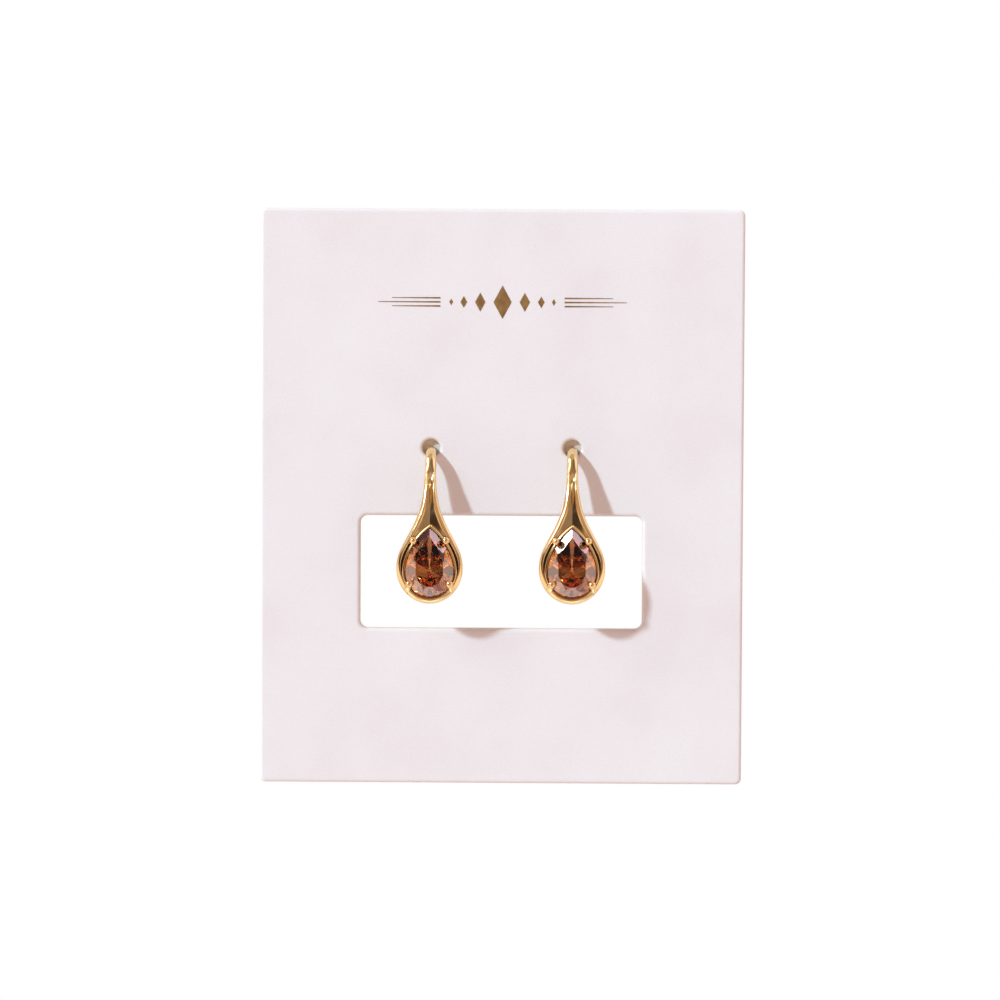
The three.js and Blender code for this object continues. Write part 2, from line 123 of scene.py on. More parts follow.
# The flank of the rim and neck, by rise along the spine: half the width, width of each rail, depth of the
# groove between the rails, and how far the grooved panel has turned into a round bar
FLANK_COLUMNS = ("rise", "half", "rail", "groove", "round")
FLANK = (
    (RIM_WIDEST_RISE, RIM_HALF_WIDTH, 0.5, 0.62, 0.0),
    (5.02, 3.22, 0.52, 0.62, 0.0),
    (6.55, 2.51, 0.57, 0.62, 0.0),
    (8.15, 1.67, 0.62, 0.6, 0.0),
    (9.77, 1.04, 0.6, 0.54, 0.0),
    (11.7, 0.7, 0.46, 0.46, 0.0),
    (12.9, 0.61, 0.37, 0.36, 0.1),
    (14.1, 0.575, 0.3, 0.14, 0.65),
    (15.5, 0.56, 0.24, 0.0, 1.0),
)
GROOVE_EDGE_SHARE = 0.3
GROOVE_EDGE_DROP = 0.08

# Pear-cut stone and its seat
STONE_WIDTH = 5.0
STONE_LENGTH = 7.0
ROUND_END_EXTRA = math.radians(7)
CROWN_HEIGHT = 0.755
HALF_GIRDLE = 0.07
PAVILION_DEPTH = 2.05
TABLE_SHARE = 0.56
TABLE_TIP_EXTRA = 0.27
TABLE_FOOT_EXTRA = 0.06
CULET_SHIFT = 0.2
CROWN_MAINS = (-90, -45, 0, 36)
PAVILION_MAINS = (-90, -45, 0, 36, 90)
CROWN_HALVES = (-78, -57, -33, -12, 12, 23)
PAVILION_HALVES = (-78, -57, -33, -12, 12, 24, 52)
STARS = (-67, -22, 19)
CROWN_HALF_STEEPER = 1.22
PAVILION_HALF_STEEPER = 1.12
STAR_SLOPE = 0.42
STAR_START = 0.97
STONE_FOOT_RISE = 0.7
SEAT_RISE = STONE_FOOT_RISE + STONE_WIDTH / 2
GIRDLE_LEVEL = 0.42
STONE_ROOM = 0.025
COLLAR_GAP = 0.08
COLLAR_WALL = 0.3
COLLAR_FRONT = 0.62
COLLAR_FOOT_FRONT = 0.3
COLLAR_FOOT_RISES = (1.0, 2.2)
COLLAR_LIP_ROUND = 0.05
COLLAR_INNER_DROP = 0.06
COLLAR_OUTER_DROPS = (0.1, 0.22)
COLLAR_BACK = -1.15
COLLAR_BACK_TAPER = 0.08
PLUG_REACH = 2.0
LEDGE_REACH = 0.25
LEDGE_LEVEL = 0.05

# Prongs: side, distance from the middle, rise along the spine
PRONGS = ((-1, 1.66, 6.45), (1, 1.66, 6.45), (-1, 2.06, 2.0), (1, 2.06, 2.0))
PRONG_POST_RADIUS = 0.28
PRONG_BEAD_RADIUS = 0.4
PRONG_BEAD_LEVEL = 0.86
PRONG_FOOT_LEVEL = -0.55
SHOULDER_RADIUS = 0.37
SHOULDER_LEVEL = 0.36
SHOULDER_ACROSS = 2.24
SHOULDER_RISE = 1.48
SHOULDER_TURNS = range(-84, 30, 12)

# Foil ornament on the card's upper part: lozenges, by distance from the middle, half width and half height,
# and tapered rules, by height above the middle and share of the full length
FOIL_HEIGHT = 49.9
FOIL_HALF_LENGTH = 12.85
FOIL_THICKNESS = 0.018
FOIL_SINK = 0.004
FOIL_SLOPE = 0.02
LOZENGES = ((0.0, 0.95, 1.75), (2.3, 0.55, 1.0), (4.0, 0.36, 0.62), (5.3, 0.22, 0.36))
RULES = ((0.0, 1.0), (0.42, 0.78), (-0.42, 0.78))
RULE_START = 6.4
RULE_HALF_HEIGHT = 0.085
RULE_END_SHARE = 0.4

# Fineness of the meshes
RIM_ROUND_NODES = 8
RIM_FLANK_NODES = 16
RIM_CURVE_STEPS = 8
RIM_STATIONS = 170
STEM_STATIONS = 150
STEM_SIDES = 48
TIP_STEPS = 8
OUTLINE_STEPS = 112
ROUND_END_STEP_SHARE = 0.58
PRONG_SIDES = 28
BEAD_STEPS = 12
GOLD_SHARP_ANGLE = math.radians(19)
STRAIGHT_TURN = 1e-9
CUT_TOLERANCE = 1e-6
MERGE_DISTANCE = 1e-8

# Camera, from the card's corners in the photograph: lengths in millimetres, angles in degrees
CAMERA_DISTANCE = 450.0
CAMERA_AZIMUTH = 0.6
CAMERA_ELEVATION = 2.96
CAMERA_ROLL = 0.3
CAMERA_TARGET = Vector((-0.16, -0.8, 29.45))
FOCAL_PIXELS = 4348.4
IMAGE_PIXELS = 1000.0
SENSOR_WIDTH = 36.0

# The light that casts the shadows
KEY_DIRECTION = Vector((-1.0, -1.0, 0.8))
KEY_STRENGTH = 2.85
KEY_COLOUR = (0.63, 0.907, 1.0)
KEY_ANGLE = math.radians(4)

# The studio around the card: azimuth, elevation, angular radius and softness of each patch in degrees, and
# its colour. A later patch covers an earlier one.
ROOM_COLOUR = (0.62, 0.415, 0.36)
BACKDROP_COLOUR = (1.0, 1.0, 1.0)
PATCHES = (
    # Behind the card, above, to its right and below
    (180, 15, 72, 10, (0.95, 0.87, 0.82)),
    (180, -48, 18, 8, (0.35, 0.22, 0.15)),
    (0, 84, 42, 16, (0.62, 0.5, 0.44)),
    (78, 40, 24, 8, (1.1, 0.95, 0.85)),
    (0, -70, 26, 8, (1.15, 0.93, 0.76)),
    # Bright, below and low at both sides
    (-60, -46, 12, 5, (1.8, 1.5, 1.25)),
    (-74, -12, 26, 8, (1.25, 1.03, 0.86)),
    (74, -12, 26, 8, (1.25, 1.0, 0.84)),
    (0, -64, 13, 4, (2.2, 1.8, 1.75)),
    (-29, -13, 13, 4, (1.3, 1.06, 0.86)),
    (28, -13, 13, 4, (1.3, 1.06, 0.86)),
    # Dark in front, for the depth in the stones and in the necks' grooves
    (0, -46, 11, 4, (0.45, 0.27, 0.2)),
    (0, 42, 16, 6, (0.3, 0.23, 0.2)),
    (0, 4.5, 8.5, 2.5, (0.06, 0.04, 0.035)),
    (-26, 4, 11, 4, (0.07, 0.05, 0.04)),
    (25, 4, 11, 4, (0.27, 0.2, 0.17)),
    (-36, 6, 10, 4, (0.05, 0.035, 0.03)),
    (37, 6, 11, 4, (0.3, 0.235, 0.2)),
    (-55, 16, 12, 4, (0.06, 0.04, 0.03)),
    (54, 17, 12, 5, (0.34, 0.26, 0.21)),
    (35, 48, 13, 5, (0.2, 0.15, 0.12)),
    # Bright at the upper left, for the wire and the rails
    (-76, 38, 13, 3, (1.35, 1.2, 1.1)),
    (-58, 42, 11, 3, (2.8, 2.7, 2.6)),
    # Mirrored in the facets beside the points of the stones: pale on the right of both, and on the left dark
    # in the left stone and white in the right one
    (94, 36, 8, 2, (2.3, 1.65, 1.8)),
    (-94, 33.5, 5.5, 2, (0.3, 0.17, 0.15)),
    (-84.7, 39.5, 5.5, 0.3, (9.0, 9.0, 9.0)),
)

# Floor, in metres
FLOOR_DROP = 0.9
FLOOR_HALF_WIDTH = 0.9
FLOOR_FRONT = 0.38
FLOOR_BACK = 0.25


def new_object(name, data):
    """An object in the scene, for a mesh, a light or a camera."""
    made = bpy.data.objects.new(name, data)
    bpy.context.scene.collection.objects.link(made)
    return made


def mesh_object(name, vertices, faces):
    """A mesh object from points in millimetres."""
    mesh = bpy.data.meshes.new(name)
    mesh.from_pydata([Vector(v) * MM for v in vertices], [], faces)
    mesh.validate()
    return new_object(name, mesh)


def object_from(bm, name):
    """A mesh object from a bmesh, which is used up."""
    mesh = bpy.data.meshes.new(name)
    bm.to_mesh(mesh)
    bm.free()
    return new_object(name, mesh)


def face_outward(made):
    """Turns the faces of a closed mesh outward."""
    bm = bmesh.new()
    bm.from_mesh(made.data)
    bmesh.ops.recalc_face_normals(bm, faces=bm.faces)
    bm.to_mesh(made.data)
    bm.free()


def loft(name, sections, closed=False):
    """A closed mesh over a row of closed sections, whose ends are capped or joined to each other."""
    sides = len(sections[0])
    spans = len(sections) if closed else len(sections) - 1
    faces = []
    for i in range(spans):
        near = i * sides
        far = (i + 1) % len(sections) * sides
        for j in range(sides):
            k = (j + 1) % sides
            faces.append((near + j, near + k, far + k, far + j))
    if not closed:
        faces.append(tuple(range(sides)))
        faces.append(tuple(range(len(sections) * sides - sides, len(sections) * sides)))
    made = mesh_object(name, [point for section in sections for point in section], faces)
    face_outward(made)
    return made


def softened(corners, rounds=3):
    """Cuts the corners of a closed outline of (a, b) pairs, so that they become small curves."""
    for _ in range(rounds):
        cut = []
        for here, there in zip(corners, corners[1:] + corners[:1]):
            cut.append((0.75 * here[0] + 0.25 * there[0], 0.75 * here[1] + 0.25 * there[1]))
            cut.append((0.25 * here[0] + 0.75 * there[0], 0.25 * here[1] + 0.75 * there[1]))
        corners = cut
    return corners


def mix(low, high, share):
    return low + (high - low) * share


def smooth_step(value, low, high):
    share = min(max((value - low) / (high - low), 0.0), 1.0)
    return share * share * (3 - 2 * share)


def flank_at(column, rise):
    """Reads a column of the flank's table at a rise, along a smooth curve through its rows."""
    index = FLANK_COLUMNS.index(column)
    if rise <= FLANK[0][0]:
        return FLANK[0][index]
    if rise >= FLANK[-1][0]:
        return FLANK[-1][index]
    above = next(i for i, row in enumerate(FLANK) if row[0] > rise)
    rows = [FLANK[max(above - 2, 0)], FLANK[above - 1], FLANK[above], FLANK[min(above + 1, len(FLANK) - 1)]]
    span = rows[2][0] - rows[1][0]
    share = (rise - rows[1][0]) / span
    start = (rows[2][index] - rows[0][index]) / (rows[2][0] - rows[0][0]) * span if above > 1 else 0.0
    end = (rows[3][index] - rows[1][index]) / (rows[3][0] - rows[1][0]) * span
    if rows[1][index] == rows[2][index]:
        return rows[1][index]
    square, cube = share * share, share ** 3
    return ((2 * cube - 3 * square + 1) * rows[1][index] + (cube - 2 * square + share) * start
            + (3 * square - 2 * cube) * rows[2][index] + (cube - square) * end)


def rise_of(name):
    names = list(SPINE)
    return sum(SPINE[run][0] for run in names[:names.index(name)])


def walk_spine(rise):
    """The spine's place in the Y-Z plane at a rise, and its heading from +Z towards +Y."""
    y, z, heading, left = 0.0, 0.0, SEAT_LEAN, rise
    for length, turn in SPINE.values():
        gone = min(left, length)
        turned = math.radians(turn) * gone / length
        if abs(turned) < STRAIGHT_TURN:
            y += gone * math.sin(heading)
            z += gone * math.cos(heading)
        else:
            radius = length / math.radians(turn)
            y += radius * (math.cos(heading) - math.cos(heading + turned))
            z += radius * (math.sin(heading + turned) - math.sin(heading))
        heading += turned
        left -= gone
        if left <= 0:
            break
    return y, z, heading


HOLE_MIDDLE = walk_spine((rise_of("hole") + rise_of("back_arch")) / 2)
SPINE_Y = -HOLE_MIDDLE[0]
SPINE_Z = WIRE_HEIGHT - HOLE_MIDDLE[1]


def bend(across, rise, level):
    """A point of the casting: across, at a rise along the spine, and in front of it by a level."""
    y, z, heading = walk_spine(rise)
    return Vector((across, SPINE_Y + y - level * math.cos(heading), SPINE_Z + z + level * math.sin(heading)))


def pear_outline(margin=0.0, steps=OUTLINE_STEPS):
    """The pear outline around the centre of its round end, tip at +Y, moved outward by a margin."""
    round_radius = STONE_WIDTH / 2
    tip = STONE_LENGTH - round_radius
    lift = math.sin(ROUND_END_EXTRA)
    extra = (tip * tip - round_radius ** 2) / (2 * (round_radius - tip * lift))
    flank_radius = round_radius + extra
    flank_x = -extra * math.cos(ROUND_END_EXTRA)
    flank_y = -extra * lift
    tip_angle = math.atan2(tip - flank_y, -flank_x)
    half = steps // 2
    round_steps = round(half * ROUND_END_STEP_SHARE)
    right = []
    for i in range(half):
        if i <= round_steps:
            angle = mix(-math.pi / 2, ROUND_END_EXTRA, i / round_steps)
            radius, centre = round_radius + margin, (0.0, 0.0)
        else:
            angle = mix(ROUND_END_EXTRA, tip_angle, (i - round_steps) / (half - round_steps))
            radius, centre = flank_radius + margin, (flank_x, flank_y)
        right.append((centre[0] + radius * math.cos(angle), centre[1] + radius * math.sin(angle)))
    point = (0.0, flank_y + math.sqrt((flank_radius + margin) ** 2 - flank_x ** 2))
    left = [(-x, y) for x, y in reversed(right[1:])]
    return right + [point] + left


def mirrored(facets):
    """The directions of facets on the right side, and of their twins on the left."""
    return [angle for facet in facets for angle in ((facet,) if abs(facet) == 90 else (facet, 180 - facet))]


def cut_stone(name, margin=0.0):
    """The faceted stone as a convex mesh: a pear prism cut by one plane for each facet."""
    outline = pear_outline(margin)
    girdle = HALF_GIRDLE + margin
    bm = bmesh.new()
    low = [bm.verts.new((x, y, -PAVILION_DEPTH - girdle)) for x, y in outline]
    high = [bm.verts.new((x, y, CROWN_HEIGHT + girdle)) for x, y in outline]
    bm.faces.new(reversed(low))
    bm.faces.new(high)
    for i in range(len(outline)):
        k = (i + 1) % len(outline)
        bm.faces.new((low[i], low[k], high[k], high[i]))

    def edge_of(degrees):
        angle = math.radians(degrees)
        farthest = max(x * math.cos(angle) + y * math.sin(angle) for x, y in outline)
        return farthest - CULET_SHIFT * math.sin(angle)

    def table_share(degrees):
        lift = math.sin(math.radians(degrees))
        return TABLE_SHARE + (TABLE_TIP_EXTRA * lift if lift > 0 else -TABLE_FOOT_EXTRA * lift)

    def crown_slope(degrees):
        return CROWN_HEIGHT / (edge_of(degrees) * (1 - table_share(degrees)))

    def pavilion_slope(degrees):
        return -PAVILION_DEPTH / edge_of(degrees)

    def trim(degrees, slope, distance, height):
        angle = math.radians(degrees)
        steep = math.atan(abs(slope))
        side = 1 if slope > 0 else -1
        normal = Vector((math.sin(steep) * math.cos(angle), math.sin(steep) * math.sin(angle),
                         side * math.cos(steep)))
        place = Vector((distance * math.cos(angle), CULET_SHIFT + distance * math.sin(angle), side * height))
        whole = bm.verts[:] + bm.edges[:] + bm.faces[:]
        cut = bmesh.ops.bisect_plane(bm, geom=whole, dist=CUT_TOLERANCE, plane_co=place, plane_no=normal,
                                     clear_outer=True)
        edges = [item for item in cut["geom_cut"] if isinstance(item, bmesh.types.BMEdge)]
        if len(edges) > 2:
            bmesh.ops.edgeloop_fill(bm, edges=edges)

    for facet in mirrored(CROWN_MAINS):
        trim(facet, crown_slope(facet), edge_of(facet), girdle)
    for facet in mirrored(PAVILION_MAINS):
        trim(facet, pavilion_slope(facet), edge_of(facet), girdle)
    for facet in mirrored(CROWN_HALVES):
        trim(facet, CROWN_HALF_STEEPER * crown_slope(facet), edge_of(facet), girdle)
    for facet in mirrored(PAVILION_HALVES):
        trim(facet, PAVILION_HALF_STEEPER * pavilion_slope(facet), edge_of(facet), girdle)
    for facet in mirrored(STARS):
        trim(facet, STAR_SLOPE, edge_of(facet) * table_share(facet) * STAR_START, CROWN_HEIGHT + girdle)
    bmesh.ops.recalc_face_normals(bm, faces=bm.faces)
    seat = bend(0, SEAT_RISE, GIRDLE_LEVEL)
    turn = Matrix.Rotation(math.pi / 2 - SEAT_LEAN, 4, "X")
    bm.transform(Matrix.Scale(MM, 4) @ Matrix.Translation(seat) @ turn)
    return object_from(bm, name)


def rim_points():
    """Evenly spaced places along the rim's outer outline, from the left rail's top to the right one's."""
    right = [(RIM_HALF_WIDTH * math.sin(a), RIM_WIDEST_RISE * (1 - math.cos(a)))
             for a in (math.pi / 2 * i / RIM_ROUND_NODES for i in range(RIM_ROUND_NODES + 1))]
    rises = (mix(RIM_WIDEST_RISE, FLANK[-1][0], i / RIM_FLANK_NODES) for i in range(1, RIM_FLANK_NODES))
    right += [(flank_at("half", rise), rise) for rise in rises]
    right.append((RAIL_END_HALF_WIDTH, FLANK[-1][0] + RAIL_END_RISE))
    nodes = [(-x, y) for x, y in reversed(right[1:])] + right
    curve = []
    for i in range(len(nodes) - 1):
        around = [nodes[max(i - 1, 0)], nodes[i], nodes[i + 1], nodes[min(i + 2, len(nodes) - 1)]]
        for step in range(RIM_CURVE_STEPS):
            t = step / RIM_CURVE_STEPS
            curve.append(tuple(
                0.5 * (2 * b + (c - a) * t + (2 * a - 5 * b + 4 * c - d) * t * t
                       + (3 * b - a - 3 * c + d) * t ** 3)
                for a, b, c, d in zip(*around)))
    curve.append(nodes[-1])
    lengths = [0.0]
    for here, there in zip(curve, curve[1:]):
        lengths.append(lengths[-1] + math.dist(here, there))
    places = []
    index = 0
    for i in range(RIM_STATIONS + 1):
        target = lengths[-1] * i / RIM_STATIONS
        while index < len(curve) - 2 and lengths[index + 1] < target:
            index += 1
        share = (target - lengths[index]) / (lengths[index + 1] - lengths[index])
        places.append(tuple(mix(a, b, share) for a, b in zip(curve[index], curve[index + 1])))
    return places


def inward_at(places, i):
    """The direction from one of the rim's places into its outline."""
    before = places[max(i - 1, 0)]
    after = places[min(i + 1, len(places) - 1)]
    along = (Vector(after) - Vector(before)).normalized()
    return Vector((-along.y, along.x))


def rim():
    """The rail that runs down one side of the neck, round the stone and up the other side."""
    places = rim_points()
    sections = []
    for i, (x, y) in enumerate(places):
        inward = inward_at(places, i)
        rail = flank_at("rail", y)
        depth = mix(HALF_DEPTH, RAIL_END_HALF_DEPTH, flank_at("round", y))
        foot = 1 - smooth_step(y, *RAIL_FOOT_RISES)
        corners = [(share * rail, lift - depth) for share, lift in RAIL_BACK]
        for on_flank, at_foot in zip(RAIL_FRONT_ON_FLANK, RAIL_FRONT_AT_FOOT):
            share, drop = (mix(low, high, foot) for low, high in zip(on_flank, at_foot))
            corners.append((share * rail, depth - drop))
        section = []
        for inset, level in softened(corners):
            section.append(bend(x + inward.x * inset, y + inward.y * inset, level))
        sections.append(section)
    return loft("rim", sections)


def web():
    """The web along the rim's back, which closes the gap to the collar."""
    places = rim_points()
    sections = []
    for i, (x, y) in enumerate(places):
        if y > WEB_GONE_RISE:
            continue
        inward = inward_at(places, i)
        rail = flank_at("rail", y)
        reach = rail + WEB_REACH * (1 - smooth_step(y, WEB_END_RISE, WEB_GONE_RISE))
        start = WEB_START_SHARE * rail
        back, front = WEB_BACK_LIFT - HALF_DEPTH, WEB_FRONT - HALF_DEPTH
        corners = ((start, back), (reach, back), (reach, front), (start, front))
        sections.append([bend(x + inward.x * inset, y + inward.y * inset, level)
                         for inset, level in corners])
    return loft("web", sections)


def stem_section(rise):
    """One section of the neck and hook: a grooved panel that turns into a round bar towards the arch."""
    round_share = min(max(flank_at("round", rise), 0.0), 1.0)
    groove = flank_at("groove", rise)
    panel_half = flank_at("half", rise) - PANEL_INTO_RAIL * flank_at("rail", rise)
    front = HALF_DEPTH - groove
    edge = HALF_DEPTH - GROOVE_EDGE_SHARE * groove - GROOVE_EDGE_DROP
    wire = mix(WIRE_RADIUS, WIRE_TIP_RADIUS, smooth_step(rise, rise_of("back_arch"), SPINE_LENGTH))
    into_hole = smooth_step(rise, rise_of("front_arch"), rise_of("hole"))
    bar_half = mix(flank_at("half", rise), wire, into_hole)
    corner = PANEL_CORNER_TURN
    back_corner = 180 - corner
    section = []
    for i in range(STEM_SIDES):
        turn = 360 * i / STEM_SIDES
        side = -1 if turn > 180 else 1
        around = 360 - turn if turn > 180 else turn
        if around < corner:
            across, level = panel_half * around / corner, mix(front, edge, around / corner)
        elif around > back_corner:
            across, level = panel_half * (1 - (around - back_corner) / corner), PANEL_BACK
        else:
            across, level = panel_half, mix(edge, PANEL_BACK, (around - corner) / (back_corner - corner))
        across = side * mix(across, bar_half * math.sin(math.radians(around)), round_share)
        level = mix(level, wire * math.cos(math.radians(around)), round_share)
        section.append(bend(across, rise, level))
    return section


def stem():
    """The neck's panel, the arch and the ear hook, in one sweep with a rounded tip."""
    last = SPINE_LENGTH - WIRE_TIP_RADIUS
    sections = [stem_section(mix(PANEL_START, last, i / STEM_STATIONS)) for i in range(STEM_STATIONS + 1)]
    for step in range(1, TIP_STEPS):
        share = math.sin(math.pi / 2 * step / TIP_STEPS)
        rise = last + WIRE_TIP_RADIUS * share
        centre = bend(0, rise, 0)
        shrink = math.sqrt(1 - share * share)
        sections.append([centre + (point - centre) * shrink for point in stem_section(rise)])
    return loft("stem", sections)


def collar():
    """The wall around the stone, with a ledge under its girdle."""
    outside = COLLAR_GAP + COLLAR_WALL
    lip_drop, wall_drop = COLLAR_OUTER_DROPS
    corners = softened([
        (outside - COLLAR_BACK_TAPER, COLLAR_BACK),
        (-LEDGE_REACH, COLLAR_BACK),
        (-LEDGE_REACH, LEDGE_LEVEL),
        (COLLAR_GAP, LEDGE_LEVEL),
        (COLLAR_GAP, COLLAR_FRONT - COLLAR_INNER_DROP),
        (COLLAR_GAP + COLLAR_LIP_ROUND, COLLAR_FRONT),
        (outside - COLLAR_LIP_ROUND, COLLAR_FRONT - lip_drop),
        (outside, COLLAR_FRONT - wall_drop),
    ], rounds=2)
    outlines = [pear_outline(margin) for margin, level in corners]
    sections = []
    for i in range(OUTLINE_STEPS):
        foot = 1 - smooth_step(SEAT_RISE + outlines[0][i][1], *COLLAR_FOOT_RISES)
        squash = mix(1.0, (COLLAR_FOOT_FRONT - LEDGE_LEVEL) / (COLLAR_FRONT - LEDGE_LEVEL), foot)
        section = []
        for j, (margin, level) in enumerate(corners):
            if level > LEDGE_LEVEL:
                level = LEDGE_LEVEL + (level - LEDGE_LEVEL) * squash
            section.append(bend(outlines[j][i][0], SEAT_RISE + outlines[j][i][1], level))
        sections.append(section)
    return loft("collar", sections, closed=True)


def collar_plug():
    """The room inside the collar, which clears the neck's panel from behind the stone."""
    outline = pear_outline(COLLAR_GAP + COLLAR_WALL / 2)
    return loft("plug", [[bend(x, SEAT_RISE + y, level) for x, y in outline]
                         for level in (-PLUG_REACH, PLUG_REACH)])


def turned(name, base, axis, profile):
    """A round body about an axis, from pairs of radius and distance along the axis."""
    across = Vector((1, 0, 0)) - axis * axis.x
    across.normalize()
    up = axis.cross(across)
    sections = []
    for radius, distance in profile:
        turns = (2 * math.pi * i / PRONG_SIDES for i in range(PRONG_SIDES))
        sections.append([base + axis * distance + (across * math.cos(turn) + up * math.sin(turn)) * radius
                         for turn in turns])
    return loft(name, sections)


def ball_profile(radius, centre, start):
    """The profile of a ball's upper part, from a start angle to its pole."""
    angles = (mix(start, math.pi / 2, i / BEAD_STEPS) for i in range(BEAD_STEPS))
    return [(radius * math.cos(angle), centre + radius * math.sin(angle)) for angle in angles]


def prong(side, across, rise):
    """A prong: a straight post with a bead on its end, standing square to the seat."""
    under = -math.acos(PRONG_POST_RADIUS / PRONG_BEAD_RADIUS)
    profile = [(PRONG_POST_RADIUS, PRONG_FOOT_LEVEL)]
    profile += ball_profile(PRONG_BEAD_RADIUS, PRONG_BEAD_LEVEL, under)
    out = Vector((0, -math.cos(SEAT_LEAN), math.sin(SEAT_LEAN)))
    return turned("prong", bend(side * across, rise, 0), out, profile)


def shoulder(side, across, rise):
    """The round shoulder on the rim, from which a lower prong's bead rises."""
    low = bend(side * SHOULDER_ACROSS, SHOULDER_RISE, SHOULDER_LEVEL)
    high = bend(side * across, rise, PRONG_BEAD_LEVEL)
    length = (high - low).length
    profile = [(SHOULDER_RADIUS * math.cos(angle), SHOULDER_RADIUS * math.sin(angle))
               for angle in (math.radians(degrees) for degrees in SHOULDER_TURNS)]
    profile += ball_profile(PRONG_POST_RADIUS, length, 0)
    return turned("shoulder", low, (high - low).normalized(), profile)


def combine(target, other, operation):
    """Joins another closed mesh to the target, or cuts it out, and removes the other."""
    modifier = target.modifiers.new(operation.lower(), "BOOLEAN")
    modifier.operation = operation
    modifier.solver = "MANIFOLD"
    modifier.object = other
    bpy.context.view_layer.objects.active = target
    bpy.ops.object.modifier_apply(modifier=modifier.name)
    bpy.data.objects.remove(other)


def soften_shading(made, sharp_angle):
    """Smooth shading with sharp edges where two faces meet at more than an angle."""
    made.data.shade_smooth()
    made.data.set_sharp_from_angle(angle=sharp_angle)


def casting():
    """The whole gold casting of one earring, around x = 0."""
    whole = stem()
    combine(whole, collar_plug(), "DIFFERENCE")
    combine(whole, rim(), "UNION")
    combine(whole, web(), "UNION")
    combine(whole, collar(), "UNION")
    for place in PRONGS:
        combine(whole, prong(*place), "UNION")
        if place[-1] < SEAT_RISE:
            combine(whole, shoulder(*place), "UNION")
    combine(whole, cut_stone("stone_room", STONE_ROOM), "DIFFERENCE")
    soften_shading(whole, GOLD_SHARP_ANGLE)
    return whole


def rounded_rectangle(half_width, low, high, corner, steps=10):
    """Points of a rectangle with round corners, counter-clockwise in the card's plane."""
    centres = ((half_width - corner, low + corner, -90), (half_width - corner, high - corner, 0),
               (corner - half_width, high - corner, 90), (corner - half_width, low + corner, 180))
    points = []
    for x, z, start in centres:
        for i in range(steps + 1):
            angle = math.radians(start + 90 * i / steps)
            points.append((x + corner * math.cos(angle), z + corner * math.sin(angle)))
    return points


def circle(x, z, radius, steps=64):
    turns = (2 * math.pi * i / steps for i in range(steps))
    return [(x + radius * math.cos(turn), z + radius * math.sin(turn)) for turn in turns]


def edge_profile(rounding, steps=8):
    """Inset and depth pairs over an edge, from the front face round to the back face."""
    half = CARD_HALF_THICKNESS
    front = [(rounding + EDGE_LAND, -half)]
    for i in range(steps + 1):
        angle = math.pi / 2 * i / steps
        front.append((rounding * (1 - math.sin(angle)), -half + rounding * (1 - math.cos(angle))))
    return front + [(inset, -depth) for inset, depth in reversed(front)]


def card_contours():
    """For each edge of the card, a function from inset to outline, and the edge's profile.

    In a hole's profile, BACK_HOLE_MARK in place of an inset stands for the narrow hole at the back.
    """
    def board(inset):
        return rounded_rectangle(CARD_HALF_WIDTH - inset, inset, CARD_HEIGHT - inset,
                                 max(CARD_CORNER - inset * CARD_CORNER_SHRINK, CARD_LEAST_CORNER))

    def window(inset):
        return rounded_rectangle(WINDOW_HALF_WIDTH + inset, WINDOW_FOOT - inset,
                                 WINDOW_FOOT + WINDOW_HEIGHT + inset, WINDOW_CORNER + inset)

    def hole(side):
        def outline(inset):
            if inset == BACK_HOLE_MARK:
                return circle(side * EARRING_X, WIRE_HEIGHT, BACK_HOLE_RADIUS)
            return circle(side * EARRING_X, HOLE_HEIGHT, HOLE_RADIUS + inset)
        return outline

    front = [pair for pair in edge_profile(HOLE_EDGE_ROUND) if pair[1] < 0]
    ledge = [(0.0, HOLE_LEDGE), (BACK_HOLE_MARK, HOLE_LEDGE)]
    through = front + ledge + [(BACK_HOLE_MARK, CARD_HALF_THICKNESS)]
    return ((board, edge_profile(CARD_EDGE_ROUND)), (window, edge_profile(WINDOW_EDGE_ROUND)),
            (hole(-1), through), (hole(1), through))


def card_board():
    """The card as one closed mesh with rolled edges, its window and two pressed holes."""
    bm = bmesh.new()
    edges_of_side = {"front": [], "back": []}
    for outline, profile in card_contours():
        rings = []
        for inset, depth in profile:
            rings.append([bm.verts.new(Vector((x, depth, z)) * MM) for x, z in outline(inset)])
        for near, far in zip(rings, rings[1:]):
            for i in range(len(near)):
                k = (i + 1) % len(near)
                bm.faces.new((near[i], near[k], far[k], far[i]))
        for side, ring in (("front", rings[0]), ("back", rings[-1])):
            for i in range(len(ring)):
                edges_of_side[side].append(bm.edges.get((ring[i], ring[(i + 1) % len(ring)])))
    for edges in edges_of_side.values():
        bmesh.ops.triangle_fill(bm, use_beauty=True, use_dissolve=False, edges=edges)
    bmesh.ops.remove_doubles(bm, verts=bm.verts, dist=MERGE_DISTANCE)
    bmesh.ops.recalc_face_normals(bm, faces=bm.faces)
    made = object_from(bm, "card_board")
    soften_shading(made, CARD_SHARP_ANGLE)
    return made


def raised_shape(points):
    """Vertices and faces of a flat shape of foil, whose rim slopes to the card's face."""
    count = len(points)
    middle = Vector((sum(x for x, z in points) / count, sum(z for x, z in points) / count))
    face = -CARD_HALF_THICKNESS
    vertices = [(x, face + FOIL_SINK, z) for x, z in points]
    for x, z in points:
        inner = Vector((x, z)) - (Vector((x, z)) - middle).normalized() * FOIL_SLOPE
        vertices.append((inner.x, face - FOIL_THICKNESS, inner.y))
    faces = [tuple(range(count)), tuple(range(2 * count - 1, count - 1, -1))]
    for i in range(count):
        k = (i + 1) % count
        faces.append((i, i + count, k + count, k))
    return vertices, faces


